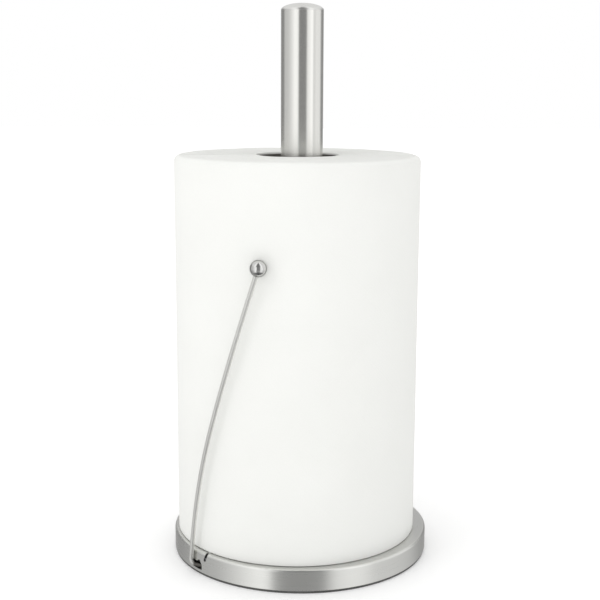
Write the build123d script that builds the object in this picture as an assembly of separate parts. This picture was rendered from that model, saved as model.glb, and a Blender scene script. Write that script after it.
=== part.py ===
from build123d import *
import os
from math import acos, atan2, cos, degrees, radians, sin, sqrt, tan

# Free-standing paper towel holder: weighted round base, upright post, sprung wire arm, full roll.
# Millimetres, +Z up, origin at the centre of the underside, the front is -Y.

# base cover and what fills it
base_diameter = 150.0
cover_height = 12.2
cover_sheet = 1.2
cover_edge_radius = 1.2
cover_edge_inner_radius = 0.2
cover_foot_radius = 0.4
pad_thickness = 1.3
pad_inset = 0.5
weight_gap = 0.5
weight_edge = 1.6

# post
post_diameter = 24.0
post_sheet = 1.0
post_height = 304.0
cap_rim = 0.3
cap_crown = 4.0
cap_spigot = 9.0
cap_wall = 1.5
press_gap = 0.05

# threaded plug, screw and washers that hold the post on the base
plug_length = 20.0
plug_spigot_diameter = 16.0
plug_spigot_length = 3.2
screw_diameter = 6.0
screw_length = 20.0
screw_head_diameter = 10.0
screw_head_height = 4.0
hex_socket = 4.0
hex_socket_depth = 2.4
washer_diameter = 12.5
washer_thickness = 1.6
split_washer_diameter = 11.8
split_washer_thickness = 1.6
split_washer_cut = 1.2
washer_hole = 6.4
counterbore_diameter = 16.0
clamped_web = 1.5
screw_gap = 0.05
thread_run_out = 3.0

# paper roll
roll_diameter = 141.0
roll_height = 220.2
roll_edge_radius = 2.2
roll_foot_radius = 0.4
roll_shift = -2.6
core_bore = 45.0
core_sheet = 0.8
core_recess = 1.5
core_gap = 0.05
seat_gap = 0.3

# sprung arm
wire_diameter = 2.5
ball_diameter = 9.0
ball_height = 179.0
ball_socket_gap = 0.04
ball_gap = 0.3
foot_gap = 0.35
foot_bearing = 54.3
axle_turn = 35.0
axle_gap = 0.05
swing = 55.0
foot_bend_radius = 3.2
lean_at_foot = 7.5
lean_at_top = 18.5
lean_bend_radius = 445.0
curved_runs = 5
straight_runs = 5
crank_place = 30.0
crank_stop_gap = 0.2

# slots in the cover's wall
slot_play = 0.35
slot_corner = 0.5
slot_peak_rise = 2.7
slot_peak_back = 1.9
hook_slot_width = 1.5
hook_slot_place = 10.4
hook_slot_depth = 4.6
hook_slot_slant = 21.0
hook_slot_reach = 3.0

# hinge bracket and its pocket in the weight
pocket_start = 0.5
pocket_end = 34.0
pocket_room = 1.6
bracket_sheet = 1.2
bracket_start = 8.6
bracket_end = 26.6
bracket_height = 6.2
bracket_lift = 0.4
ear_lift = 0.2
ear_places = (12.5, 18.4)
bush_wall = 0.7
bush_flange = 0.5
bush_flange_rim = 0.6
ear_margin = 1.0
bracket_screw_places = (16.05, 23.6)
bracket_screw_diameter = 2.5
bracket_screw_length = 6.0
bracket_screw_head = 4.0
bracket_screw_head_height = 1.6
screw_slot = 0.8

# torsion spring
spring_wire = 0.8
spring_gap = 0.3
spring_turns = 7.75
spring_pitch = 0.92
spring_place = 20.6
spring_hook_drop = 1.9
spring_bend_radius = 0.9
spring_arm_reach = 5.6
spring_arm_past = 1.5
spring_tip_in_wall = 0.9
spring_bead = 0.05

past = 5.0
join = 0.02

base_radius = base_diameter / 2
base_top = pad_thickness + cover_height
cover_inner_radius = base_radius - cover_sheet
cover_inner_top = base_top - cover_sheet
post_radius = post_diameter / 2
post_bore_radius = post_radius - post_sheet
post_top = base_top + post_height
tube_top = post_top - cap_crown - cap_rim
roll_radius = roll_diameter / 2
roll_low = base_top + seat_gap
roll_high = roll_low + roll_height
core_outer_radius = core_bore / 2 + core_sheet
wire_radius = wire_diameter / 2
ball_radius = ball_diameter / 2
spring_radius = wire_radius + spring_gap + spring_wire / 2
bush_radius = wire_radius + axle_gap + bush_wall
ear_end_radius = bush_radius + ear_margin
axle_height = pad_thickness + ear_lift + ear_end_radius
crank_room = cover_inner_top - axle_height - crank_stop_gap
crank_length = (crank_room - wire_radius * cos(radians(swing))) / sin(radians(swing))
pocket_depth = crank_length + pocket_room
hook_slot_foot = base_top - hook_slot_depth
spring_hook_height = cover_inner_top - spring_hook_drop
spigot_low = base_top - plug_spigot_length
washer_seat = spigot_low - press_gap - clamped_web
screw_seat = washer_seat - washer_thickness - split_washer_thickness
screw_tip = screw_seat + screw_length
bracket_low = pad_thickness + bracket_lift
bracket_middle = bracket_low + bracket_height / 2


def disc(radius, low, high):
    return Pos(0, 0, low) * Cylinder(
        radius, high - low, align=(Align.CENTER, Align.CENTER, Align.MIN)
    )


def ring(outer, inner, low, high):
    return disc(outer, low, high) - disc(inner, low - past, high + past)


def toward(bearing):
    """Level direction that many degrees from the front (-Y) towards the left (-X)."""
    angle = radians(bearing)
    return Vector(-sin(angle), -cos(angle), 0)


# The axle is the wire's bent foot. It starts beside the wall and runs inwards past it.
foot = toward(foot_bearing) * (base_radius + foot_gap + wire_radius)
axle_direction = Vector(0, 0, 1).cross(toward(foot_bearing - axle_turn))
if axle_direction.X < 0:
    axle_direction = axle_direction * -1
hinge = Plane(origin=foot, x_dir=axle_direction, z_dir=(0, 0, 1))


def in_hinge(along, inward, height):
    """Point by its distance along the axle, inwards from it, and above the floor."""
    return hinge.from_local_coords(Vector(along, inward, height))


def hinge_block(along, inward, height):
    """Block in the axle's own directions, from three pairs of low and high."""
    sizes = [high - low for low, high in (along, inward, height)]
    middle = [(high + low) / 2 for low, high in (along, inward, height)]
    return hinge * Pos(*middle) * Box(*sizes)


def hinge_rod(radius, along):
    """Round rod on the axle's line between two places along it."""
    low, high = along
    place = Pos((low + high) / 2, 0, axle_height) * Rot(0, 90, 0)
    return hinge * place * Cylinder(radius, high - low)


def axle_at_radius(radius):
    """How far along the axle its line comes in to this distance from the post's line."""
    start = base_radius + foot_gap + wire_radius
    across = start * cos(radians(axle_turn))
    return start * sin(radians(axle_turn)) - sqrt(radius**2 - across**2)


def outward_cut(outline, inward):
    """Prism that cuts outwards through the wall, with its outline seen square to the axle."""
    face_plane = Plane(
        origin=in_hinge(0, inward, 0),
        x_dir=axle_direction,
        z_dir=axle_direction.cross(Vector(0, 0, 1)),
    )
    return extrude(face_plane * outline, base_radius)


def foot_slot():
    """Opening for the wire's foot: low where the wire crosses the wall, peaked behind it."""
    low = axle_height - wire_radius - slot_play
    high = axle_height + wire_radius + slot_play
    left = -wire_radius / 2
    right = axle_at_radius(cover_inner_radius - foot_gap - wire_radius)
    bend_top = high + wire_radius
    peak = Vector(right - slot_peak_back, high + slot_peak_rise)
    outline = Polygon(
        (left, low),
        (right, low),
        (right, high),
        (peak.X, peak.Y),
        (peak.X - slot_peak_back, bend_top),
        (left, bend_top),
        align=None,
    )
    outline = fillet(outline.vertices(), slot_corner)
    return outward_cut(outline, pocket_depth / 2)


def hook_slot():
    """Slanted notch in the wall's upper edge where the spring's fixed leg hooks in."""
    length = (base_top + past - hook_slot_foot) / cos(radians(hook_slot_slant))
    outline = Pos(hook_slot_place, hook_slot_foot) * Rot(0, 0, 90 - hook_slot_slant)
    outline = outline * Pos(length / 2, 0) * SlotOverall(length, hook_slot_width)
    inward = wall_inward(hook_slot_place, cover_inner_radius) + hook_slot_reach - cover_sheet
    return outward_cut(outline, inward)


def wall_inward(along, radius):
    """How far inwards from the axle's line the wall at this radius lies (negative is outwards)."""
    start = base_radius + foot_gap + wire_radius
    turn = radians(axle_turn)
    middle_along = start * sin(turn)
    middle_inward = start * cos(turn)
    return middle_inward - sqrt(radius**2 - (along - middle_along) ** 2)


def base_shell():
    """Drawn cover: flat top, rounded edge, straight wall, hole for the plug and two slots."""
    outside = disc(base_radius, pad_thickness, base_top)
    outside = fillet(outside.edges().group_by(Axis.Z)[-1], cover_edge_radius)
    outside = fillet(outside.edges().group_by(Axis.Z)[0], cover_foot_radius)
    inside = disc(cover_inner_radius, pad_thickness - past, cover_inner_top)
    inside = fillet(inside.edges().group_by(Axis.Z)[-1], cover_edge_inner_radius)
    shell = outside - inside
    shell -= disc(plug_spigot_diameter / 2 + press_gap, 0, base_top + past)
    return shell - foot_slot() - hook_slot()


def hinge_pocket():
    """Space in the weight for the hinge, open to the wall and right through."""
    return hinge_block(
        (pocket_start, pocket_end), (-base_radius, pocket_depth), (-past, base_top + past)
    )


def bracket_screw_holes(radius, reach):
    """Rods along each bracket screw's line, from the bracket into the weight."""
    low = pocket_depth - bracket_sheet - past
    rods = []
    for place in bracket_screw_places:
        spot = Pos(place, (low + pocket_depth + reach) / 2, bracket_middle) * Rot(90, 0, 0)
        rods.append(hinge * spot * Cylinder(radius, pocket_depth + reach - low))
    return rods


def base_weight():
    """Iron disc on the pad, up to the cover's underside."""
    body = disc(cover_inner_radius - weight_gap, pad_thickness, cover_inner_top)
    body = chamfer(body.edges().group_by(Axis.Z)[-1], weight_edge)
    body -= disc(counterbore_diameter / 2, 0, washer_seat)
    body -= disc(washer_hole / 2, 0, base_top)
    body -= disc(plug_spigot_diameter / 2 + press_gap, spigot_low - press_gap, base_top)
    body -= hinge_pocket()
    for hole in bracket_screw_holes(
        bracket_screw_diameter / 2 + screw_gap, bracket_screw_length
    ):
        body -= hole
    return body


def foot_pad():
    """Resilient disc glued under the weight, nearly as wide as the cover, which hides the screw."""
    return disc(base_radius - pad_inset, 0, pad_thickness)


def post_tube():
    return ring(post_radius, post_bore_radius, base_top, tube_top)


def post_cap():
    """Pressed-in lid: a rim as wide as the tube under a flattened dome, and a hollow spigot."""
    rim_top = post_top - cap_crown
    dome = scale(Sphere(post_radius), by=(1, 1, cap_crown / post_radius))
    head = disc(post_radius, tube_top, rim_top) + Pos(0, 0, rim_top) * dome
    head = head - disc(post_radius + past, tube_top - cap_crown, tube_top)
    spigot_radius = post_bore_radius - press_gap
    spigot = ring(
        spigot_radius, spigot_radius - cap_wall, tube_top - cap_spigot, tube_top + join
    )
    return head + spigot


def post_plug():
    """Threaded insert in the tube's lower end, with a spigot through the cover into the weight."""
    body = disc(post_bore_radius - press_gap, base_top, base_top + plug_length)
    body += disc(plug_spigot_diameter / 2, spigot_low, base_top + join)
    return body - disc(screw_diameter / 2 + screw_gap, 0, screw_tip + thread_run_out)


def post_screw():
    """Socket-head screw, driven from below before the pad goes on."""
    head_low = screw_seat - screw_head_height
    head = disc(screw_head_diameter / 2, head_low, screw_seat)
    socket = RegularPolygon(hex_socket / 2 / cos(radians(30)), 6)
    socket = extrude(Pos(0, 0, head_low) * socket, hex_socket_depth)
    return head - socket + disc(screw_diameter / 2, screw_seat - join, screw_tip)


def plain_washer():
    low = washer_seat - washer_thickness
    return ring(washer_diameter / 2, washer_hole / 2, low, washer_seat)


def lock_washer():
    top = screw_seat + split_washer_thickness
    body = ring(split_washer_diameter / 2, washer_hole / 2, screw_seat, top)
    cut = Box(split_washer_diameter, split_washer_cut, past * 2)
    return body - Pos(split_washer_diameter / 2, 0, screw_seat) * cut


def hinge_bracket():
    """Sheet bracket in the pocket: a back plate and two ears that carry the axle's bushes."""
    back = hinge_block(
        (bracket_start, bracket_end),
        (pocket_depth - bracket_sheet, pocket_depth),
        (bracket_low, bracket_low + bracket_height),
    )
    for place in ear_places:
        span = (place, place + bracket_sheet)
        height = (axle_height - ear_end_radius, axle_height + ear_end_radius)
        back += hinge_block(span, (0, pocket_depth - bracket_sheet + join), height)
        back += hinge_rod(ear_end_radius, span)
    back -= hinge_rod(bush_radius, (0, pocket_end))
    for hole in bracket_screw_holes(bracket_screw_diameter / 2 + screw_gap, past):
        back -= hole
    return back


def axle_bushes():
    """Flanged plain bushes, one in each ear, pushed in from the side of the arm."""
    bushes = []
    for place in ear_places:
        body = hinge_rod(bush_radius, (place - join, place + bracket_sheet))
        body += hinge_rod(bush_radius + bush_flange_rim, (place - bush_flange, place))
        bushes.append(body - hinge_rod(wire_radius + axle_gap, (0, pocket_end)))
    return Compound(children=bushes)


def bracket_screws():
    screws = []
    seat = pocket_depth - bracket_sheet
    length = bracket_screw_length - screw_gap + bracket_sheet
    head_middle = seat - bracket_screw_head_height / 2
    for place in bracket_screw_places:
        shank_spot = Pos(place, seat + length / 2, bracket_middle) * Rot(90, 0, 0)
        head_spot = Pos(place, head_middle, bracket_middle) * Rot(90, 0, 0)
        screw = hinge * shank_spot * Cylinder(bracket_screw_diameter / 2, length)
        screw += hinge * head_spot * Cylinder(
            bracket_screw_head / 2, bracket_screw_head_height
        )
        slot = hinge_block(
            (place - bracket_screw_head, place + bracket_screw_head),
            (head_middle - past, head_middle),
            (bracket_middle - screw_slot / 2, bracket_middle + screw_slot / 2),
        )
        screws.append(screw - slot)
    return Compound(children=screws)


def tube_along(points, radii, radius):
    """Round wire along straight runs joined by tangent arcs."""
    path = FilletPolyline(*points, radius=radii)
    start = Plane(origin=path @ 0, z_dir=path % 0)
    return sweep(start * Circle(radius), path=path)


def torsion_spring():
    """Coil round the axle: one leg hooks in the cover's notch, the other lies on the crank."""
    coil_plane = Plane(
        origin=in_hinge(spring_place, 0, axle_height),
        x_dir=hinge.y_dir,
        z_dir=axle_direction,
    )
    length = spring_turns * spring_pitch
    helix = Helix(spring_pitch, length, spring_radius, lefthand=True)
    start = Plane(origin=helix @ 0, z_dir=helix % 0)
    coil = coil_plane * sweep(
        start * Circle(spring_wire / 2), path=helix, is_frenet=True
    )
    hook_along = hook_slot_place + (spring_hook_height - hook_slot_foot) * tan(
        radians(hook_slot_slant)
    )
    wall = wall_inward(hook_along, cover_inner_radius)
    fixed_leg = [
        in_hinge(hook_along, wall - spring_tip_in_wall, spring_hook_height),
        in_hinge(hook_along, spring_radius, spring_hook_height),
        in_hinge(spring_place, spring_radius, spring_hook_height),
        in_hinge(spring_place, spring_radius, axle_height),
    ]
    end = spring_place + length
    top = axle_height + spring_radius
    free_leg = [
        in_hinge(end, 0, top),
        in_hinge(end, spring_arm_reach, top),
        in_hinge(crank_place + wire_radius + spring_arm_past, spring_arm_reach, top),
    ]
    spring = coil
    for joint in (fixed_leg[-1], free_leg[0]):
        spring += Pos(*joint) * Sphere(spring_wire / 2 + spring_bead)
    spring += tube_along(fixed_leg, [spring_bend_radius] * 2, spring_wire / 2)
    spring += tube_along(free_leg, [spring_bend_radius], spring_wire / 2)
    return spring


def roll_point(bearing, reach, height):
    """Point by its bearing and distance from the roll's own line."""
    return Vector(roll_shift, 0, height) + toward(bearing) * reach


def arm_climb():
    """Height and sideways travel of the wire from its foot to the ball: a long bend, then straight."""
    low_lean = radians(lean_at_foot)
    high_lean = radians(lean_at_top)
    climb = []
    for step in range(1, curved_runs + 1):
        lean = low_lean + (high_lean - low_lean) * step / curved_runs
        height = axle_height + lean_bend_radius * (sin(lean) - sin(low_lean))
        climb.append((height, lean_bend_radius * (cos(low_lean) - cos(lean))))
    bend_end, bend_side = climb[-1]
    for step in range(1, straight_runs + 1):
        rise = (ball_height - bend_end) * step / straight_runs
        climb.append((bend_end + rise, bend_side + rise * tan(high_lean)))
    return climb


def arm_route():
    """Corner points of the wire: crank, axle, foot, past the cover, and round the roll to the ball."""
    from_roll = foot - Vector(roll_shift, 0, 0)
    foot_angle = degrees(atan2(-from_roll.X, -from_roll.Y))
    foot_reach = from_roll.length
    ball_reach = roll_radius + ball_gap + ball_radius
    route = [
        in_hinge(crank_place, crank_length, axle_height),
        in_hinge(crank_place, 0, axle_height),
        in_hinge(0, 0, axle_height),
    ]
    climb = arm_climb()
    past_cover = climb[0][0]
    for height, side in climb:
        share = (height - past_cover) / (ball_height - past_cover)
        reach = foot_reach + (ball_reach - foot_reach) * share
        route.append(roll_point(foot_angle - degrees(side / reach), reach, height))
    return route


def route_radii(route):
    """Wire bends: tight ones at the crank and the foot, the rest as large as their runs allow."""
    radii = [foot_bend_radius, foot_bend_radius]
    for index in range(3, len(route) - 1):
        before = route[index] - route[index - 1]
        after = route[index + 1] - route[index]
        turn = acos(before.dot(after) / before.length / after.length)
        radii.append(0.45 * min(before.length, after.length) / tan(turn / 2))
    return radii


def arm_wire():
    route = arm_route()
    return tube_along(route, route_radii(route), wire_radius)


def arm_ball():
    """Ball with a blind hole that the end of the wire is fixed in."""
    route = arm_route()
    centre = route[-1]
    along = (route[-1] - route[-2]).normalized()
    hole_plane = Plane(origin=centre, z_dir=along * -1)
    hole = hole_plane * Pos(0, 0, -join) * Cylinder(
        wire_radius + ball_socket_gap,
        ball_diameter,
        align=(Align.CENTER, Align.CENTER, Align.MIN),
    )
    return Pos(*centre) * Sphere(ball_radius) - hole


def roll_core():
    tube = ring(core_outer_radius, core_bore / 2, roll_low, roll_high - core_recess)
    return Pos(roll_shift, 0, 0) * tube


def paper_winding():
    body = disc(roll_radius, roll_low, roll_high)
    body = fillet(body.edges().group_by(Axis.Z)[-1], roll_edge_radius)
    body = fillet(body.edges().group_by(Axis.Z)[0], roll_foot_radius)
    body -= disc(core_outer_radius + core_gap, 0, roll_high + past)
    return Pos(roll_shift, 0, 0) * body


pieces = {
    "base_shell": base_shell,
    "base_weight": base_weight,
    "foot_pad": foot_pad,
    "post_tube": post_tube,
    "post_cap": post_cap,
    "post_plug": post_plug,
    "post_screw": post_screw,
    "plain_washer": plain_washer,
    "lock_washer": lock_washer,
    "hinge_bracket": hinge_bracket,
    "axle_bushes": axle_bushes,
    "bracket_screws": bracket_screws,
    "torsion_spring": torsion_spring,
    "arm_wire": arm_wire,
    "arm_ball": arm_ball,
    "roll_core": roll_core,
    "paper_winding": paper_winding,
}

os.makedirs("parts", exist_ok=True)
for name, make in pieces.items():
    export_step(make(), f"parts/{name}.step")
print("arm bend radii", [round(radius, 1) for radius in route_radii(arm_route())])
print("axle from", foot, "along", axle_direction)
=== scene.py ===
import bpy
import bmesh
import math
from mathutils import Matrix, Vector


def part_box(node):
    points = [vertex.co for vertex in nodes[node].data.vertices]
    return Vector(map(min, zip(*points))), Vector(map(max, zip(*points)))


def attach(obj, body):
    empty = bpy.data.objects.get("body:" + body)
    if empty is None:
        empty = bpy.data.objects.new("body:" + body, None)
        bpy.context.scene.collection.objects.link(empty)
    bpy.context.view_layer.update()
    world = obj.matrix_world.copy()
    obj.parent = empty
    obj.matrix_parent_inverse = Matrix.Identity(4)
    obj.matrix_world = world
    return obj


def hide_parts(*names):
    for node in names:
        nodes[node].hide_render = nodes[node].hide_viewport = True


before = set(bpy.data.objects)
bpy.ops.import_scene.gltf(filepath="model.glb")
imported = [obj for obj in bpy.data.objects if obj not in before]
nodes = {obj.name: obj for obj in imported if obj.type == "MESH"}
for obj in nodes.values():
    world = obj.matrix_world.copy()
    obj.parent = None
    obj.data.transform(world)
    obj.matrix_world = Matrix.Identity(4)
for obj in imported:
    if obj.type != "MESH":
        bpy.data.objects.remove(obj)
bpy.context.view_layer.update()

# Free-standing paper towel holder with a sprung wire arm and a full roll.
# Metres, +Z up, the front is -Y. Most CAD pieces keep their shape and get a finish.
# The wound paper, its tear line, the core's ply edge, the cover in finer facets
# and the studded foot are made here.

coverLow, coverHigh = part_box("base_shell")
windingLow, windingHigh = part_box("paper_winding")
coreLow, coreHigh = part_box("roll_core")
padLow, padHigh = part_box("foot_pad")
rollAxis = (windingLow + windingHigh) / 2
mergeReach = 0.000001        # corners nearer than this are one


def addNode(tree, kind, inputs=None, **settings):
    made = tree.nodes.new(kind)
    for key, value in settings.items():
        setattr(made, key, value)
    for key, value in (inputs or {}).items():
        if isinstance(value, bpy.types.NodeSocket):
            tree.links.new(value, made.inputs[key])
        else:
            made.inputs[key].default_value = value
    return made


def calc(tree, operation, first, second=0.0):
    return addNode(tree, "ShaderNodeMath", {0: first, 1: second}, operation=operation).outputs[0]


def plus(tree, first, second):
    return calc(tree, "ADD", first, second)


def minus(tree, first, second):
    return calc(tree, "SUBTRACT", first, second)


def times(tree, first, second):
    return calc(tree, "MULTIPLY", first, second)


def over(tree, first, second):
    return calc(tree, "DIVIDE", first, second)


def separate(tree, vector):
    return addNode(tree, "ShaderNodeSeparateXYZ", {0: vector}).outputs


def combine(tree, x=0.0, y=0.0, z=0.0):
    return addNode(tree, "ShaderNodeCombineXYZ", {0: x, 1: y, 2: z}).outputs[0]


def mixColours(tree, share, first, second):
    made = addNode(tree, "ShaderNodeMix", {0: share, 6: first, 7: second}, data_type="RGBA")
    return made.outputs[2]


def blend(tree, first, second, firstShare):
    # weighted sum of two values
    return plus(tree, times(tree, first, firstShare), times(tree, second, 1 - firstShare))


def opaque(colour):
    return (*colour, 1)


def newMaterial(name):
    material = bpy.data.materials.new(name)
    material.use_nodes = True
    tree = material.node_tree
    return material, tree, tree.nodes["Principled BSDF"]


def ramp(tree, source, stops):
    made = addNode(tree, "ShaderNodeValToRGB", {0: source})
    points = made.color_ramp.elements
    while len(points) < len(stops):
        points.new(0.5)
    for point, (place, colour) in zip(points, stops):
        point.position = place
        point.color = opaque(colour)
    return made.outputs["Color"]


def spread(tree, source, low, high, fromLow=0.0, fromHigh=1.0):
    made = addNode(tree, "ShaderNodeMapRange", {
        "Value": source, "From Min": fromLow, "From Max": fromHigh, "To Min": low, "To Max": high,
    })
    return made.outputs["Result"]


def noise(tree, place, scale, detail=2.0, roughness=0.5):
    made = addNode(tree, "ShaderNodeTexNoise", {
        "Vector": place, "Scale": scale, "Detail": detail, "Roughness": roughness,
    })
    return made.outputs["Fac"]


def objectPlace(tree):
    return addNode(tree, "ShaderNodeTexCoord").outputs["Object"]


def bump(tree, shader, height, strength, distance):
    made = addNode(tree, "ShaderNodeBump", {
        "Strength": strength, "Distance": distance, "Height": height,
    })
    tree.links.new(made.outputs["Normal"], shader.inputs["Normal"])


def drive(tree, shader, colour, roughness):
    tree.links.new(colour, shader.inputs["Base Color"])
    tree.links.new(roughness, shader.inputs["Roughness"])


brushing = {
    "lineDetail": 4.0,
    "along": 22.0,        # slow change round the piece, per metre
    "across": 5200.0,     # fine lines, per metre
    "broad": 700.0,       # broader streaks, per metre
    "smudge": 18.0,       # soft marks of handling, per metre
    "lineDepth": 0.00002,
    "grainTurn": 0.25,    # the light stretches across the rings, not along them
}


def distanceOut(tree, x, y):
    # how far a point lies from the post's line
    return calc(tree, "SQRT", plus(tree, times(tree, x, x), times(tree, y, y)))


def brushedSteel(name, colour, roughness, anisotropy, streak=0.035, scratch=0.2, uneven=0.045,
                 paintedShadeTop=None):
    # turned or belted round the post's line: fine rings, light stretched across them
    material, tree, shader = newMaterial(name)
    x, y, z = separate(tree, objectPlace(tree))
    reach = distanceOut(tree, x, y)
    across = minus(tree, reach, z)
    grains = []
    for step in (brushing["across"], brushing["broad"]):
        place = combine(tree, times(tree, x, brushing["along"]),
                        times(tree, y, brushing["along"]), times(tree, across, step))
        grains.append(noise(tree, place, 1.0, brushing["lineDetail"], 0.6))
    grain = blend(tree, grains[0], grains[1], 0.6)
    smudge = noise(tree, objectPlace(tree), brushing["smudge"], 3.0)
    tint = mixColours(tree, blend(tree, grain, smudge, 0.7),
                      opaque([part * (1 - streak) for part in colour]),
                      opaque([min(1, part * (1 + streak)) for part in colour]))
    if paintedShadeTop:
        # painted shade: the flat top and all inside it get a darker colour than the wall, for the dark
        # shade and reflection at the roll's foot
        flat = spread(tree, reach, 1.0, 0.0, *paintedShadeTop["reach"])
        tint = mixColours(tree, flat, tint, opaque(paintedShadeTop["colour"]))
    rough = plus(tree, spread(tree, grain, roughness - uneven, roughness + uneven, 0.3, 0.7),
                 spread(tree, smudge, -0.02, 0.02))
    drive(tree, shader, tint, rough)
    shader.inputs["Metallic"].default_value = 1.0
    shader.inputs["Anisotropic"].default_value = anisotropy
    shader.inputs["Anisotropic Rotation"].default_value = brushing["grainTurn"]
    tangent = addNode(tree, "ShaderNodeTangent", direction_type="RADIAL", axis="Z")
    tree.links.new(tangent.outputs[0], shader.inputs["Tangent"])
    bump(tree, shader, grains[0], scratch, brushing["lineDepth"])
    return material


# the plain finishes: texture scales per metre, relief depths in metres
polish = {"clouds": 90.0, "hairlines": 2600.0, "hairlineDepth": 0.00001}
iron = {"sand": 1400.0, "patches": 60.0, "sandDepth": 0.0002}
rubber = {"grain": 3200.0, "bloom": 45.0, "grainDepth": 0.0001}
plating = {"spangle": 900.0, "patches": 220.0, "grain": 5000.0, "grainDepth": 0.00003}
moulding = {"grain": 2400.0, "clouds": 140.0, "grainDepth": 0.00005}


def polishedSteel(name, colour, roughness, paintedSlotShade=None, edge=1.0):
    # bright drawn wire and ball: hairline scratches and faint clouds in the polish
    material, tree, shader = newMaterial(name)
    place = objectPlace(tree)
    clouds = noise(tree, place, polish["clouds"], 2.0)
    scratches = noise(tree, place, polish["hairlines"], 2.0, 0.7)
    tint = ramp(tree, clouds, [(0.3, [part * 0.97 for part in colour]), (0.7, colour)])
    if paintedSlotShade:
        # painted shade on the foot, from its bend inwards, where it sits in the cover's slot
        axes = separate(tree, place)
        slotShadeMask = times(tree, spread(tree, axes[0], 0.0, 1.0, *paintedSlotShade["across"]),
                     spread(tree, axes[2], 0.0, 1.0, *paintedSlotShade["height"]))
        tint = mixColours(tree, slotShadeMask, tint, opaque(paintedSlotShade["colour"]))
    rough = plus(tree, spread(tree, clouds, roughness * 0.9, roughness * 1.1, 0.3, 0.7),
                 spread(tree, scratches, -0.01, 0.015, 0.35, 0.7))
    drive(tree, shader, tint, rough)
    shader.inputs["Metallic"].default_value = 1.0
    shader.inputs["Specular Tint"].default_value = (edge, edge, edge, 1)
    bump(tree, shader, scratches, 0.03, polish["hairlineDepth"])
    return material


def castIron(name):
    material, tree, shader = newMaterial(name)
    place = objectPlace(tree)
    sand = noise(tree, place, iron["sand"], 4.0, 0.65)
    patches = noise(tree, place, iron["patches"], 3.0)
    tint = ramp(tree, patches, [
        (0.3, (0.13, 0.13, 0.13)), (0.6, (0.2, 0.2, 0.198)), (0.8, (0.25, 0.235, 0.22)),
    ])
    drive(tree, shader, tint, spread(tree, sand, 0.55, 0.8, 0.3, 0.7))
    shader.inputs["Metallic"].default_value = 0.35
    bump(tree, shader, sand, 0.6, iron["sandDepth"])
    return material


def padRubber(name):
    material, tree, shader = newMaterial(name)
    place = objectPlace(tree)
    grain = noise(tree, place, rubber["grain"], 3.0, 0.6)
    bloom = noise(tree, place, rubber["bloom"], 4.0)
    tint = ramp(tree, bloom, [(0.35, (0.07, 0.07, 0.068)), (0.75, (0.11, 0.11, 0.107))])
    drive(tree, shader, tint, spread(tree, grain, 0.72, 0.92, 0.3, 0.7))
    bump(tree, shader, grain, 0.5, rubber["grainDepth"])
    return material


def platedSteel(name, dark, light, roughness):
    # zinc or oiled steel of the hidden fittings: spangle, fine grain, dull patches
    material, tree, shader = newMaterial(name)
    place = objectPlace(tree)
    spangle = addNode(tree, "ShaderNodeTexVoronoi", {"Vector": place, "Scale": plating["spangle"]})
    patches = noise(tree, place, plating["patches"], 3.0)
    shade = blend(tree, patches, spangle.outputs["Color"], 0.8)
    drive(tree, shader, ramp(tree, shade, [(0.25, dark), (0.75, light)]),
          spread(tree, shade, roughness - 0.08, roughness + 0.1, 0.25, 0.75))
    shader.inputs["Metallic"].default_value = 1.0
    bump(tree, shader, noise(tree, place, plating["grain"], 2.0), 0.15, plating["grainDepth"])
    return material


def nylon(name):
    material, tree, shader = newMaterial(name)
    place = objectPlace(tree)
    grain = noise(tree, place, moulding["grain"], 2.0)
    clouds = noise(tree, place, moulding["clouds"], 2.0)
    tint = ramp(tree, clouds, [(0.3, (0.78, 0.76, 0.7)), (0.7, (0.84, 0.82, 0.77))])
    drive(tree, shader, tint, spread(tree, grain, 0.38, 0.5, 0.3, 0.7))
    shader.inputs["Subsurface Weight"].default_value = 0.2
    shader.inputs["Subsurface Scale"].default_value = 0.001
    bump(tree, shader, grain, 0.1, moulding["grainDepth"])
    return material


board = {
    "plyPitch": 0.072,
    "jointWidth": 0.012,     # share of the pitch on each side of a joint
    "fibres": 900.0,
    "clouds": 70.0,
    "depth": 0.00015,
}


def kraftBoard(name):
    # grey-brown core board: long fibres, specks, and the helical joints of its plies
    material, tree, shader = newMaterial(name)
    centred = addNode(tree, "ShaderNodeMapping", {
        "Vector": objectPlace(tree), "Location": (-rollAxis.x, -rollAxis.y, 0),
    }).outputs[0]
    x, y, z = separate(tree, centred)
    turn = over(tree, calc(tree, "ARCTAN2", y, x), 2 * math.pi)
    helix = calc(tree, "FRACT", plus(tree, over(tree, z, board["plyPitch"]), turn))
    joint = spread(tree, calc(tree, "ABSOLUTE", minus(tree, helix, 0.5)),
                   1.0, 0.0, 0.0, board["jointWidth"])
    stretched = addNode(tree, "ShaderNodeMapping", {"Vector": centred, "Scale": (1, 1, 0.25)})
    fibres = noise(tree, stretched.outputs[0], board["fibres"], 5.0, 0.7)
    shade = blend(tree, fibres, noise(tree, centred, board["clouds"], 3.0), 0.7)
    tint = ramp(tree, shade, [
        (0.3, (0.085, 0.08, 0.072)), (0.55, (0.14, 0.132, 0.12)), (0.8, (0.21, 0.198, 0.18)),
    ])
    tint = mixColours(tree, times(tree, joint, 0.6), tint, (0.05, 0.046, 0.041, 1))
    drive(tree, shader, tint, spread(tree, fibres, 0.8, 0.95))
    bump(tree, shader, minus(tree, fibres, joint), 0.4, board["depth"])
    return material


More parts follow.
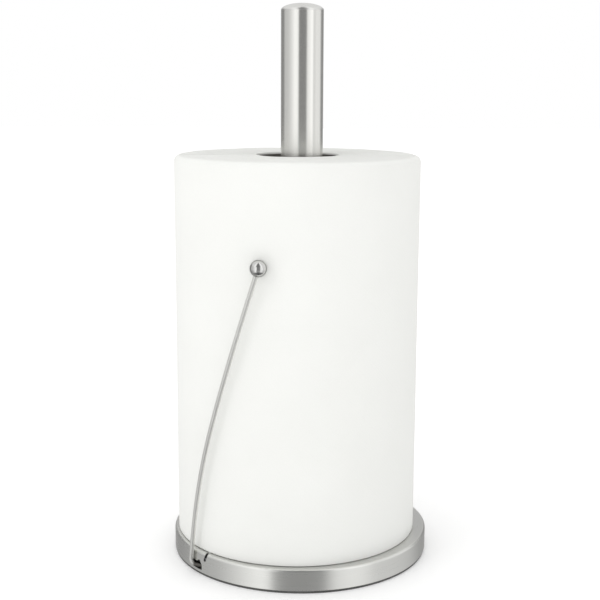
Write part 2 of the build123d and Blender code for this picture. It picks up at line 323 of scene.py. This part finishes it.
paper = {
    "turns": 80,
    "columns": 160,
    "wallRows": 34,
    "seed": 3.0,
    "coreGap": 0.00005,
    "skin": 0.00003,
    "footGap": 0.00006,      # the roll stands on the cover
    "merge": 0.00001,
    "edgeGap": 0.00045,      # how deep the gap between two layers is
    "layerStand": 0.0005,    # how far one layer's edge stands out past another's
    "standScale": 0.83,      # per layer
    "wander": 0.0005,        # slow rise and fall of the edges
    "wanderScale": 45.0,     # per metre
    "dent": 0.0003,          # slow dents in the wall
    "dentScale": 16.0,       # per metre
    "rimSlump": 0.0003,      # the outer layers lie a little lower
    "slumpWidth": 0.006,
    "rimRound": 0.003,
    "footRound": 0.0004,
    "footShare": 0.15,       # the end that the roll stands on is pressed flat
    "tailBearing": 75.0,     # degrees from the back towards the right
    "sheetLength": 0.25,
    "slitLength": 0.0034,
    "slitWidth": 0.0005,
    "slitLip": 0.00006,
    "slitSpacing": 0.0047,
    "dotPitch": 0.0021,
    "quiltPitch": 0.012,
    "fibres": 1500.0,        # per metre
    "creases": 26.0,         # per metre
    "reliefDepth": 0.00012,
}


def tissue(name):
    # two-ply towel: soft fibres, faint dots and a faint diamond quilt pressed into it
    material, tree, shader = newMaterial(name)
    along = addNode(tree, "ShaderNodeUVMap", uv_map="paperPlace").outputs[0]
    u, v = separate(tree, along)[:2]

    def wave(source, pitch):
        return calc(tree, "SINE", times(tree, source, 2 * math.pi / pitch))

    dots = times(tree, wave(u, paper["dotPitch"]), wave(v, paper["dotPitch"]))
    dots = spread(tree, dots, 0.0, 1.0, 0.1, 0.8)
    first = wave(plus(tree, u, v), paper["quiltPitch"] * 2)
    second = wave(minus(tree, u, v), paper["quiltPitch"] * 2)
    quilt = calc(tree, "MINIMUM", calc(tree, "ABSOLUTE", first), calc(tree, "ABSOLUTE", second))
    quilt = spread(tree, quilt, 0.0, 1.0, 0.0, 0.18)
    place = objectPlace(tree)
    fibres = noise(tree, place, paper["fibres"], 4.0, 0.65)
    creases = noise(tree, place, paper["creases"], 3.0)
    tint = ramp(tree, blend(tree, fibres, creases, 0.5), [
        (0.3, (0.79, 0.794, 0.768)), (0.7, (0.826, 0.83, 0.806)),
    ])
    drive(tree, shader, tint, spread(tree, fibres, 0.9, 1.0))
    shader.inputs["Specular IOR Level"].default_value = 0.15
    height = plus(tree, times(tree, fibres, 0.35), times(tree, quilt, 0.5))
    height = minus(tree, height, times(tree, dots, 0.3))
    bump(tree, shader, height, 0.22, paper["reliefDepth"])
    return material


# the darker colour on the cover's flat top is painted shade at the roll's foot
coverSteel = brushedSteel("coverSteel", (0.79, 0.792, 0.763), roughness=0.3, anisotropy=0.8, paintedShadeTop={
    "colour": (0.7, 0.702, 0.68),
    "reach": (coverHigh.x - 0.0016, coverHigh.x - 0.0011),
})
postSteel = brushedSteel("postSteel", (0.81, 0.805, 0.775), roughness=0.25, anisotropy=0.8,
                         streak=0.02, scratch=0.06, uneven=0.025)
capSteel = brushedSteel("capSteel", (0.78, 0.778, 0.755), roughness=0.32, anisotropy=0.4,
                        uneven=0.025)
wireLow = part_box("arm_wire")[0]
# the dark colour on the wire's foot is painted shade inside the cover's slot
wireSteel = polishedSteel("wireSteel", (0.86, 0.862, 0.83), roughness=0.48, paintedSlotShade={
    "colour": (0.13, 0.125, 0.115),
    "across": (wireLow.x + 0.0018, wireLow.x + 0.0032),
    "height": (wireLow.z + 0.0042, wireLow.z + 0.0028),
})
ballSteel = polishedSteel("ballSteel", (0.7, 0.7, 0.685), roughness=0.07, edge=0.05)
weightIron = castIron("weightIron")
footRubber = padRubber("footRubber")
zincSteel = platedSteel("zincSteel", dark=(0.42, 0.43, 0.46), light=(0.66, 0.67, 0.7), roughness=0.34)
darkSteel = platedSteel("darkSteel", dark=(0.16, 0.16, 0.17), light=(0.34, 0.34, 0.36), roughness=0.36)
bushNylon = nylon("bushNylon")
coreBoard = kraftBoard("coreBoard")
towelPaper = tissue("towelPaper")

finishes = {
    "base_shell": coverSteel,
    "post_tube": postSteel,
    "post_cap": capSteel,
    "arm_wire": wireSteel,
    "arm_ball": ballSteel,
    "base_weight": weightIron,
    "foot_pad": footRubber,
    "post_plug": zincSteel,
    "post_screw": zincSteel,
    "plain_washer": zincSteel,
    "hinge_bracket": zincSteel,
    "bracket_screws": zincSteel,
    "lock_washer": darkSteel,
    "torsion_spring": darkSteel,
    "axle_bushes": bushNylon,
    "roll_core": coreBoard,
    "paper_winding": towelPaper,
}
for name, material in finishes.items():
    for place in nodes[name].material_slots:
        place.material = material
print("finishes done")


def newTree(name, sockets):
    # empty geometry tree with named inputs, each a (name, kind, value)
    tree = bpy.data.node_groups.new(name, "GeometryNodeTree")
    tree.interface.new_socket("Geometry", in_out="INPUT", socket_type="NodeSocketGeometry")
    tree.interface.new_socket("Geometry", in_out="OUTPUT", socket_type="NodeSocketGeometry")
    for label, kind, value in sockets:
        made = tree.interface.new_socket(label, in_out="INPUT", socket_type="NodeSocket" + kind)
        if value is not None:
            made.default_value = value
    given = tree.nodes.new("NodeGroupInput")
    result = tree.nodes.new("NodeGroupOutput")
    return tree, given.outputs, result.inputs


def closeTree(tree, geometry, materialSocket, result):
    # every tree ends in Realize Instances and Set Material
    real = addNode(tree, "GeometryNodeRealizeInstances", {0: geometry}).outputs[0]
    painted = addNode(tree, "GeometryNodeSetMaterial", {
        "Geometry": real, "Material": materialSocket,
    })
    tree.links.new(painted.outputs[0], result[0])


def runTree(name, tree, values, start=None):
    # runs the tree on a start mesh, or an empty one, and keeps its result as a plain mesh
    holder = bpy.data.objects.new(name, start or bpy.data.meshes.new(name))
    bpy.context.scene.collection.objects.link(holder)
    modifier = holder.modifiers.new(name, "NODES")
    modifier.node_group = tree
    for item in tree.interface.items_tree:
        if item.in_out == "INPUT" and item.name in values:
            modifier[item.identifier] = values[item.name]
    bpy.context.view_layer.update()
    evaluated = holder.evaluated_get(bpy.context.evaluated_depsgraph_get())
    made = bpy.data.meshes.new_from_object(evaluated)
    holder.modifiers.remove(modifier)
    holder.data = made
    return holder


def tidyMesh(piece, merge=mergeReach):
    # merges doubles, closes holes and points the faces outwards
    work = bmesh.new()
    work.from_mesh(piece.data)
    bmesh.ops.remove_doubles(work, verts=work.verts, dist=merge)
    loose = [edge for edge in work.edges if edge.is_boundary]
    if loose:
        bmesh.ops.holes_fill(work, edges=loose, sides=0)
    bmesh.ops.recalc_face_normals(work, faces=work.faces)
    work.to_mesh(piece.data)
    work.free()


boreRadius = coreHigh.x - rollAxis.x + paper["coreGap"]
rollRadius = windingHigh.x - rollAxis.x
layerPitch = (rollRadius - boreRadius) / (paper["turns"] + 1)
wallRadius = rollRadius - layerPitch


def windingProfile():
    # loop of (radius, turn, height): bore, ridged upper end, outer wall, ridged lower end
    low, high = coverHigh.z + paper["footGap"], windingHigh.z - paper["skin"]
    rimRound, footRound = paper["rimRound"], paper["footRound"]
    gap, turns = paper["edgeGap"], paper["turns"]
    ridges = []
    for turn in range(turns):
        for share, depth in ((0.0, gap), (0.25, 0.0), (0.75, 0.0)):
            radius = boreRadius + (turn + share) * layerPitch
            if radius < wallRadius - rimRound:
                ridges.append((radius, turn, depth))

    def rim(rounding):
        turned = [math.radians(angle) for angle in (80, 55, 30, 10)]
        return [(wallRadius - rounding * (1 - math.cos(angle)), rounding * (1 - math.sin(angle)))
                for angle in turned]

    loop = [(boreRadius, 0, low + gap), (boreRadius, 0, high - 2 * gap)]
    loop += [(radius, turn, high - depth) for radius, turn, depth in ridges]
    loop += [(radius, turns, high - depth) for radius, depth in rim(rimRound)]
    rows = paper["wallRows"]
    for step in range(rows + 1):
        fall = (high - low - rimRound - footRound) * step / rows
        loop.append((wallRadius, turns, high - rimRound - fall))
    loop += [(radius, turns, low + depth) for radius, depth in rim(footRound)[::-1]]
    loop += [(radius, turn, low + depth * 0.6) for radius, turn, depth in ridges[::-1]]
    return loop + loop[:1]


def paperTree():
    tree, given, result = newTree("woundPaper", [
        ("Profile", "Object", None), ("Rows", "Int", 100), ("Columns", "Int", 160),
        ("Pitch", "Float", 0.0005), ("Centre", "Float", 0.0), ("Tail", "Float", 0.0),
        ("Wall Radius", "Float", 0.07), ("Middle", "Float", 0.1), ("Half Height", "Float", 0.1),
        ("Seed", "Float", 3.0), ("Dent", "Float", 0.0002), ("Layer Stand", "Float", 0.0004),
        ("Wander", "Float", 0.0003), ("Slump", "Float", 0.001), ("Slump Width", "Float", 0.006),
        ("Foot Share", "Float", 0.15), ("Material", "Material", None),
    ])
    grid = addNode(tree, "GeometryNodeMeshGrid", {
        "Size X": 1.0, "Size Y": 1.0, "Vertices X": given["Columns"], "Vertices Y": given["Rows"],
    })
    position = addNode(tree, "GeometryNodeInputPosition").outputs[0]
    flatX, flatY = separate(tree, position)[:2]
    share = plus(tree, flatX, 0.5)
    lastRow = minus(tree, given["Rows"], 1.0)
    row = calc(tree, "ROUND", times(tree, plus(tree, flatY, 0.5), lastRow))
    profile = addNode(tree, "GeometryNodeObjectInfo", {"Object": given["Profile"]})
    sample = addNode(tree, "GeometryNodeSampleIndex", data_type="FLOAT_VECTOR", domain="POINT")
    tree.links.new(profile.outputs["Geometry"], sample.inputs["Geometry"])
    tree.links.new(position, sample.inputs["Value"])
    tree.links.new(row, sample.inputs["Index"])
    radius, turn, height = separate(tree, sample.outputs[0])
    # one turn of the spiral adds one layer, so a row's end meets the next layer's start
    angle = plus(tree, times(tree, share, 2 * math.pi), given["Tail"])
    reach = plus(tree, radius, times(tree, share, given["Pitch"]))
    layer = plus(tree, turn, share)
    cosine, sine = calc(tree, "COSINE", angle), calc(tree, "SINE", angle)
    level = over(tree, minus(tree, height, given["Middle"]), given["Half Height"])
    around = combine(tree, times(tree, reach, cosine), times(tree, reach, sine), height)
    dent = addNode(tree, "ShaderNodeTexNoise", {
        "Vector": around, "W": given["Seed"], "Scale": paper["dentScale"], "Detail": 2.0,
    }, noise_dimensions="4D").outputs[0]
    wander = addNode(tree, "ShaderNodeTexNoise", {
        "Vector": around, "W": given["Seed"], "Scale": paper["wanderScale"], "Detail": 1.0,
    }, noise_dimensions="4D").outputs[0]
    stand = addNode(tree, "ShaderNodeTexNoise", {
        "W": plus(tree, layer, given["Seed"]), "Scale": paper["standScale"], "Detail": 1.0,
    }, noise_dimensions="1D").outputs[0]
    outer = plus(tree, given["Wall Radius"], given["Pitch"])
    inward = over(tree, minus(tree, outer, reach), given["Slump Width"])
    near = calc(tree, "MAXIMUM", minus(tree, 1.0, inward), 0.0)
    slump = times(tree, times(tree, near, near), given["Slump"])
    sink = plus(tree, slump, times(tree, stand, given["Layer Stand"]))
    sink = plus(tree, sink, times(tree, wander, given["Wander"]))
    lower = times(tree, calc(tree, "MINIMUM", level, 0.0), given["Foot Share"])
    push = plus(tree, calc(tree, "MAXIMUM", level, 0.0), lower)
    dentShare = times(tree, times(tree, dent, near), given["Dent"])
    pulled = minus(tree, reach, dentShare)
    moved = combine(tree, plus(tree, times(tree, pulled, cosine), given["Centre"]),
                    times(tree, pulled, sine),
                    minus(tree, height, times(tree, sink, push)))
    inset = minus(tree, given["Wall Radius"], radius)
    along = times(tree, times(tree, share, 2 * math.pi), given["Wall Radius"])
    up = plus(tree, height, times(tree, inset, calc(tree, "SIGN", level)))
    place = combine(tree, along, up)
    stored = addNode(tree, "GeometryNodeStoreNamedAttribute", {
        "Geometry": grid.outputs[0], "Name": "paperPlace", "Value": place,
    }, data_type="FLOAT2", domain="CORNER")
    placed = addNode(tree, "GeometryNodeSetPosition", {
        "Geometry": stored.outputs[0], "Position": moved,
    })
    closeTree(tree, placed.outputs[0], given["Material"], result)
    return tree


def tearTree():
    # a line of pinched slits down the wall, each a thin raised lip
    tree, given, result = newTree("tearLine", [
        ("Wall", "Object", None), ("Start", "Vector", (0, 0, 0)), ("Step", "Float", 0.005),
        ("Count", "Int", 40), ("Slit Length", "Float", 0.003), ("Slit Width", "Float", 0.0005),
        ("Lip", "Float", 0.00006), ("Bearing", "Float", 0.0), ("Material", "Material", None),
    ])
    upwards = combine(tree, z=given["Step"])
    line = addNode(tree, "GeometryNodeMeshLine", {
        "Count": given["Count"], "Start Location": given["Start"], "Offset": upwards,
    })
    wall = addNode(tree, "GeometryNodeObjectInfo", {"Object": given["Wall"]})
    nearest = addNode(tree, "GeometryNodeProximity", target_element="FACES")
    tree.links.new(wall.outputs["Geometry"], nearest.inputs[0])
    onWall = addNode(tree, "GeometryNodeSetPosition", {
        "Geometry": line.outputs[0], "Position": nearest.outputs["Position"],
    })
    outline = addNode(tree, "GeometryNodeCurvePrimitiveCircle", {"Resolution": 10, "Radius": 0.5})
    stretch = combine(tree, given["Slit Length"], given["Slit Width"], 1.0)
    slit = addNode(tree, "GeometryNodeTransform", {
        "Geometry": outline.outputs[0], "Scale": stretch,
    })
    ring = addNode(tree, "GeometryNodeCurvePrimitiveCircle", {
        "Resolution": 4, "Radius": given["Lip"],
    })
    lip = addNode(tree, "GeometryNodeCurveToMesh", {
        "Curve": slit.outputs[0], "Profile Curve": ring.outputs[0],
    })
    # long side upright, flat on the wall
    turned = combine(tree, y=math.pi / 2, z=given["Bearing"])
    lips = addNode(tree, "GeometryNodeInstanceOnPoints", {
        "Points": onWall.outputs[0], "Instance": lip.outputs[0], "Rotation": turned,
    })
    closeTree(tree, lips.outputs[0], given["Material"], result)
    return tree


def makePaper():
    loop = windingProfile()
    outline = bpy.data.meshes.new("windingOutline")
    outline.from_pydata([(radius, turn, height) for radius, turn, height in loop], [], [])
    guide = bpy.data.objects.new("windingOutline", outline)
    tail = math.radians(90 - paper["tailBearing"])
    paperRoll = runTree("paperRoll", paperTree(), {
        "Profile": guide, "Rows": len(loop), "Columns": paper["columns"] + 1,
        "Pitch": layerPitch, "Centre": rollAxis.x, "Tail": tail, "Wall Radius": wallRadius,
        "Middle": rollAxis.z, "Half Height": (windingHigh.z - windingLow.z) / 2,
        "Seed": paper["seed"], "Dent": paper["dent"], "Layer Stand": paper["layerStand"],
        "Wander": paper["wander"], "Slump": paper["rimSlump"], "Slump Width": paper["slumpWidth"],
        "Foot Share": paper["footShare"], "Material": towelPaper,
    })
    tidyMesh(paperRoll, paper["merge"])
    turned = tail - paper["sheetLength"] / rollRadius
    count = int((windingHigh.z - windingLow.z - 2 * paper["rimRound"]) / paper["slitSpacing"])
    start = Vector((rollAxis.x + rollRadius * math.cos(turned), rollRadius * math.sin(turned),
                    rollAxis.z - (count - 1) / 2 * paper["slitSpacing"]))
    tearLine = runTree("tearLine", tearTree(), {
        "Wall": paperRoll, "Start": start, "Step": paper["slitSpacing"], "Count": count,
        "Slit Length": paper["slitLength"], "Slit Width": paper["slitWidth"],
        "Lip": paper["slitLip"], "Bearing": turned, "Material": towelPaper,
    })
    for piece in (paperRoll, tearLine):
        for face in piece.data.polygons:
            face.use_smooth = True
        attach(piece, "paper")
    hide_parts("paper_winding")
    bpy.data.objects.remove(guide)


makePaper()
print("paper wound")


def plyTree():
    tree, given, result = newTree("plyEdge", [
        ("Rotations", "Float", 3.0), ("Radius", "Float", 0.02), ("Height", "Float", 0.2),
        ("Foot", "Vector", (0, 0, 0)), ("Width", "Float", 0.001), ("Thickness", "Float", 0.0001),
        ("Material", "Material", None),
    ])
    spiral = addNode(tree, "GeometryNodeCurveSpiral", {
        "Resolution": 72, "Rotations": given["Rotations"], "Start Radius": given["Radius"],
        "End Radius": given["Radius"], "Height": given["Height"],
    })
    upright = addNode(tree, "GeometryNodeSetCurveNormal", {"Curve": spiral.outputs[0]}, mode="Z_UP")
    ribbon = addNode(tree, "GeometryNodeCurvePrimitiveQuadrilateral", {
        "Width": given["Thickness"], "Height": given["Width"],
    })
    swept = addNode(tree, "GeometryNodeCurveToMesh", {
        "Curve": upright.outputs[0], "Profile Curve": ribbon.outputs[0], "Fill Caps": True,
    })
    placed = addNode(tree, "GeometryNodeTransform", {
        "Geometry": swept.outputs[0], "Translation": given["Foot"],
    })
    closeTree(tree, placed.outputs[0], given["Material"], result)
    return tree


ply = {"width": 0.0011, "thickness": 0.00022, "endRoom": 0.001, "bore": 0.0225}


def makePlyEdge():
    length = coreHigh.z - coreLow.z - 2 * ply["endRoom"] - ply["width"]
    plyEdge = runTree("plyEdge", plyTree(), {
        "Rotations": length / board["plyPitch"], "Radius": ply["bore"], "Height": length,
        "Foot": Vector((rollAxis.x, 0, coreLow.z + ply["endRoom"] + ply["width"] / 2)),
        "Width": ply["width"], "Thickness": ply["thickness"], "Material": coreBoard,
    })
    tidyMesh(plyEdge)
    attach(plyEdge, "core")


makePlyEdge()
print("core done")


cover = {
    "edgeRound": 0.0012,
    "footRound": 0.0004,
    "near": 0.00004,         # how far a facet's corner may lie from the true surface
    "longest": 0.0011,       # longer edges of the wall are halved
    "rounds": 2,             # how often
    "sameWay": 0.8,          # a face of the wall points this near to the true direction
}


def coverSurface(place):
    # nearest point and outward direction on the outside of the drawn cover
    reach = math.hypot(place.x, place.y)
    outward = Vector((place.x, place.y, 0)) / max(reach, mergeReach)
    if place.z > coverHigh.z - cover["edgeRound"]:
        rounding, level = cover["edgeRound"], coverHigh.z - cover["edgeRound"]
    elif place.z < coverLow.z + cover["footRound"]:
        rounding, level = cover["footRound"], coverLow.z + cover["footRound"]
    else:
        return outward * coverHigh.x + Vector((0, 0, place.z)), outward
    middle = min(reach, coverHigh.x - rounding)
    direction = (outward * (reach - middle) + Vector((0, 0, place.z - level))).normalized()
    return outward * middle + Vector((0, 0, level)) + direction * rounding, direction


def makeCover():
    # the drawn cover again, its rounded wall in finer facets that follow the true surface
    mesh = nodes["base_shell"].data.copy()
    work = bmesh.new()
    work.from_mesh(mesh)
    bmesh.ops.remove_doubles(work, verts=work.verts, dist=mergeReach)
    wallStart = coverHigh.x - cover["edgeRound"] - cover["near"]

    def onWall(vertex):
        place = vertex.co
        if math.hypot(place.x, place.y) <= wallStart:
            return False
        return (coverSurface(place)[0] - place).length < cover["near"]

    for _ in range(cover["rounds"]):
        longEdges = [edge for edge in work.edges if edge.calc_length() > cover["longest"]]
        walls = [edge for edge in longEdges if all(onWall(vertex) for vertex in edge.verts)]
        bmesh.ops.subdivide_edges(work, edges=walls, cuts=1)
        bmesh.ops.triangulate(work, faces=[face for face in work.faces if len(face.verts) > 3])
    for vertex in work.verts:
        if onWall(vertex):
            vertex.co = coverSurface(vertex.co)[0]
    work.to_mesh(mesh)
    work.free()
    steelCover = bpy.data.objects.new("steelCover", mesh)
    bpy.context.scene.collection.objects.link(steelCover)
    directions = []
    for face in mesh.polygons:
        face.use_smooth = True
        for corner in face.vertices:
            place = mesh.vertices[corner].co
            surface, direction = coverSurface(place)
            near = (surface - place).length < cover["near"]
            same = near and direction.dot(face.normal) > cover["sameWay"]
            directions.append(direction if same else face.normal.copy())
    mesh.normals_split_custom_set(directions)
    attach(steelCover, "stand")
    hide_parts("base_shell")


makeCover()
print("cover done")


foot = {
    "studSpacing": 0.0055,
    "studRadius": 0.0011,
    "studHeight": 0.0004,
    "studTaper": 0.7,
    "studSides": 10,
    "studRoom": 0.0015,      # left free inside the rim
    "rimWidth": 0.0022,
    "edgeRound": 0.00025,
    "segments": 144,
}


def turnedMesh(name, profile, segments):
    # closed (radius, height) outline turned round the Z axis
    rows = []
    vertices, faces = [], []
    for radius, height in profile:
        if radius < mergeReach:
            rows.append([len(vertices)] * segments)
            vertices.append((0, 0, height))
            continue
        rows.append(list(range(len(vertices), len(vertices) + segments)))
        for step in range(segments):
            angle = 2 * math.pi * step / segments
            vertices.append((radius * math.cos(angle), radius * math.sin(angle), height))
    for lower, upper in zip(rows, rows[1:]):
        for step in range(segments):
            after = (step + 1) % segments
            corners = (lower[step], lower[after], upper[after], upper[step])
            faces.append(list(dict.fromkeys(corners)))
    mesh = bpy.data.meshes.new(name)
    mesh.from_pydata(vertices, [], faces)
    return mesh


def studTree():
    tree, given, result = newTree("footStuds", [
        ("Spacing", "Float", 0.006), ("Reach", "Float", 0.07), ("Stud Radius", "Float", 0.001),
        ("Stud Height", "Float", 0.0004), ("Material", "Material", None),
    ])
    across = times(tree, given["Reach"], 2.0)
    count = calc(tree, "FLOOR", over(tree, across, given["Spacing"]))
    size = times(tree, minus(tree, count, 1.0), given["Spacing"])
    grid = addNode(tree, "GeometryNodeMeshGrid", {
        "Size X": size, "Size Y": size, "Vertices X": count, "Vertices Y": count,
    })
    position = addNode(tree, "GeometryNodeInputPosition").outputs[0]
    place = addNode(tree, "ShaderNodeVectorMath", {0: position}, operation="LENGTH")
    outside = addNode(tree, "FunctionNodeCompare", {
        0: place.outputs["Value"], 1: given["Reach"],
    }, operation="GREATER_THAN")
    inside = addNode(tree, "GeometryNodeDeleteGeometry", {
        "Geometry": grid.outputs[0], "Selection": outside.outputs[0],
    }, domain="POINT")
    stud = addNode(tree, "GeometryNodeMeshCone", {
        "Vertices": foot["studSides"], "Radius Top": given["Stud Radius"],
        "Radius Bottom": times(tree, given["Stud Radius"], foot["studTaper"]),
        "Depth": given["Stud Height"],
    })
    studs = addNode(tree, "GeometryNodeInstanceOnPoints", {
        "Points": inside.outputs[0], "Instance": stud.outputs[0],
    })
    joined = addNode(tree, "GeometryNodeJoinGeometry", {0: studs.outputs[0]})
    tree.links.new(given["Geometry"], joined.inputs[0])
    closeTree(tree, joined.outputs[0], given["Material"], result)
    return tree


def makeFoot():
    outer, top, ground = padHigh.x, padHigh.z, padLow.z
    lift = ground + foot["studHeight"]
    inner = outer - foot["rimWidth"]
    small = foot["edgeRound"]
    profile = [
        (0, lift), (inner * 0.5, lift), (inner, lift), (inner + small, ground + small),
        (inner + 2 * small, ground), (outer - small, ground), (outer, ground + small),
        (outer, top - small), (outer - small, top), (outer * 0.5, top), (0, top),
    ]
    body = turnedMesh("studdedFoot", profile, foot["segments"])
    studdedFoot = runTree("studdedFoot", studTree(), {
        "Spacing": foot["studSpacing"], "Reach": inner - foot["studRoom"],
        "Stud Radius": foot["studRadius"], "Stud Height": foot["studHeight"],
        "Material": footRubber,
    }, body)
    tidyMesh(studdedFoot)
    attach(studdedFoot, "stand")
    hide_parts("foot_pad")


makeFoot()
print("foot done")


studio = {
    "floorSize": 12.0,
    "floorShade": 0.93,
    "floorGlow": 0.08,       # near the object, where its soft shadow shows
    "farGlow": 0.3,
    "glowReach": (0.1, 0.55),
    "sky": 0.84,
    "tentRadius": 1.6,
    "tentLow": -1.6,
    "tentHigh": 2.2,
    "tentSegments": 96,
    "upperJoin": (-0.45, -0.1),      # heights between which one row of cards fades into the next
    "overheadJoin": (0.7, 1.1),
    "underJoin": (-1.1, -1.5),
    "aimHeight": 0.14,
}

# the cards' brightness, each as (degrees from the front, shade), left is negative
upperPanels = [
    (-180, 0.62), (-164, 0.5), (-146, 0.28), (-118, 0.28), (-108, 0.6), (-78, 0.68),
    (-58, 0.89), (-38, 1.18), (-21, 1.16), (-17, 0.26), (22, 0.27), (27, 0.93),
    (42, 1.08), (58, 1.3), (64, 0.78), (73, 0.82), (82, 0.95), (114, 0.9),
    (122, 0.35), (146, 0.28), (164, 0.5), (180, 0.62),
]
lowerPanels = [
    (-180, 0.62), (-164, 0.5), (-146, 0.33), (-110, 0.42), (-78, 0.5), (-58, 0.78),
    (-36, 1.16), (-27, 1.17), (-24, 0.38), (20, 0.4), (25, 0.7), (33, 0.98),
    (48, 1.02), (72, 0.72), (110, 0.56), (146, 0.33), (164, 0.5), (180, 0.62),
]
overheadPanels = [
    (-180, 0.85), (-75, 0.9), (-44, 1.3), (-22, 0.22),
    (22, 0.22), (44, 1.3), (75, 0.9), (180, 0.85),
]
underPanels = [(-180, 0.5), (-90, 0.3), (0, 0.12), (90, 0.3), (180, 0.5)]


def plainEmission(name, colour, strength):
    material = bpy.data.materials.new(name)
    material.use_nodes = True
    tree = material.node_tree
    tree.nodes.clear()
    glow = addNode(tree, "ShaderNodeEmission", {"Color": colour, "Strength": strength})
    end = tree.nodes.new("ShaderNodeOutputMaterial")
    tree.links.new(glow.outputs[0], end.inputs["Surface"])
    return material, tree, glow


def panelTent():
    # a ring of light and dark cards round the object, seen only in its reflections
    material, tree, glow = plainEmission("panelTent", (1, 1, 1, 1), 1.0)
    x, y, z = separate(tree, objectPlace(tree))
    bearing = calc(tree, "ARCTAN2", x, times(tree, y, -1.0))
    share = spread(tree, bearing, 0.0, 1.0, -math.pi, math.pi)

    def ring(panels):
        return ramp(tree, share, [((angle + 180) / 360, (shade,) * 3) for angle, shade in panels])

    shades = ring(lowerPanels)
    for panels, join in ((upperPanels, "upperJoin"), (overheadPanels, "overheadJoin"),
                         (underPanels, "underJoin")):
        fade = spread(tree, z, 0.0, 1.0, *studio[join])
        shades = mixColours(tree, fade, shades, ring(panels))
    tree.links.new(shades, glow.inputs["Color"])
    material.cycles.emission_sampling = "NONE"
    profile = [(0, studio["tentLow"]), (studio["tentRadius"], studio["tentLow"]),
               (studio["tentRadius"], studio["tentHigh"]), (0, studio["tentHigh"])]
    mesh = turnedMesh("panelTent", profile, studio["tentSegments"])
    mesh.materials.append(material)
    tent = bpy.data.objects.new("panelTent", mesh)
    bpy.context.scene.collection.objects.link(tent)
    tent.visible_camera = False
    tent.visible_diffuse = False
    tent.visible_shadow = False
    tent.visible_transmission = False
    tent.visible_volume_scatter = False


def paleFloor():
    half = studio["floorSize"] / 2
    mesh = bpy.data.meshes.new("paleFloor")
    corners = [(-half, -half, 0), (half, -half, 0), (half, half, 0), (-half, half, 0)]
    mesh.from_pydata(corners, [], [(0, 1, 2, 3)])
    material, tree, shader = newMaterial("paleFloor")
    shade = studio["floorShade"]
    shader.inputs["Base Color"].default_value = (shade, shade, shade, 1)
    shader.inputs["Roughness"].default_value = 0.9
    shader.inputs["Specular IOR Level"].default_value = 0.1
    shader.inputs["Emission Color"].default_value = (1, 1, 1, 1)
    x, y = separate(tree, objectPlace(tree))[:2]
    away = distanceOut(tree, x, y)
    glow = spread(tree, away, studio["floorGlow"], studio["farGlow"], *studio["glowReach"])
    tree.links.new(glow, shader.inputs["Emission Strength"])
    mesh.materials.append(material)
    floor = bpy.data.objects.new("paleFloor", mesh)
    bpy.context.scene.collection.objects.link(floor)
    floor.visible_glossy = False


def whiteSky():
    world = bpy.data.worlds.new("whiteSky")
    world.use_nodes = True
    tree = world.node_tree
    tree.nodes.clear()
    seen = addNode(tree, "ShaderNodeBackground", {"Color": (1, 1, 1, 1), "Strength": 1.0})
    lit = addNode(tree, "ShaderNodeBackground", {"Color": (1, 1, 1, 1), "Strength": studio["sky"]})
    path = tree.nodes.new("ShaderNodeLightPath")
    both = addNode(tree, "ShaderNodeMixShader", {
        0: path.outputs["Is Camera Ray"], 1: lit.outputs[0], 2: seen.outputs[0],
    })
    end = tree.nodes.new("ShaderNodeOutputWorld")
    tree.links.new(both.outputs[0], end.inputs["Surface"])
    bpy.context.scene.world = world


softboxes = [
    # name, place, size, watts
    ("keySoftbox", (-1.75, -1.45, 1.75), 1.2, 7.7),
    ("fillSoftbox", (1.9, -1.1, 1.2), 1.4, 0.5),
    ("lowSoftbox", (-0.35, -2.4, 0.25), 1.8, 8.5),
    ("topSoftbox", (0.0, 0.2, 2.6), 2.0, 14.0),
]


def softbox(name, place, size, watts):
    lamp = bpy.data.lights.new(name, "AREA")
    lamp.shape = "SQUARE"
    lamp.size = size
    lamp.energy = watts
    box = bpy.data.objects.new(name, lamp)
    bpy.context.scene.collection.objects.link(box)
    box.location = place
    aim = Vector((0, 0, studio["aimHeight"])) - Vector(place)
    box.rotation_euler = aim.to_track_quat("-Z", "Y").to_euler()
    box.visible_glossy = False


panelTent()
paleFloor()
whiteSky()
for name, place, size, watts in softboxes:
    softbox(name, place, size, watts)
print("studio done")

view = {"sideways": -0.0012, "distance": 0.68, "height": 0.2763, "downwards": 10.61, "lean": -0.25,
        "lens": 71.1}


def makeCamera():
    lens = bpy.data.cameras.new("view")
    lens.lens = view["lens"]
    lens.sensor_width = 36
    lens.clip_start = 0.01
    camera = bpy.data.objects.new("view", lens)
    bpy.context.scene.collection.objects.link(camera)
    camera.location = (view["sideways"], -view["distance"], view["height"])
    camera.rotation_euler = (math.radians(90 - view["downwards"]), math.radians(view["lean"]), 0)
    bpy.context.scene.camera = camera


makeCamera()
bpy.context.scene.view_settings.view_transform = "Standard"
bpy.context.scene.view_settings.look = "None"
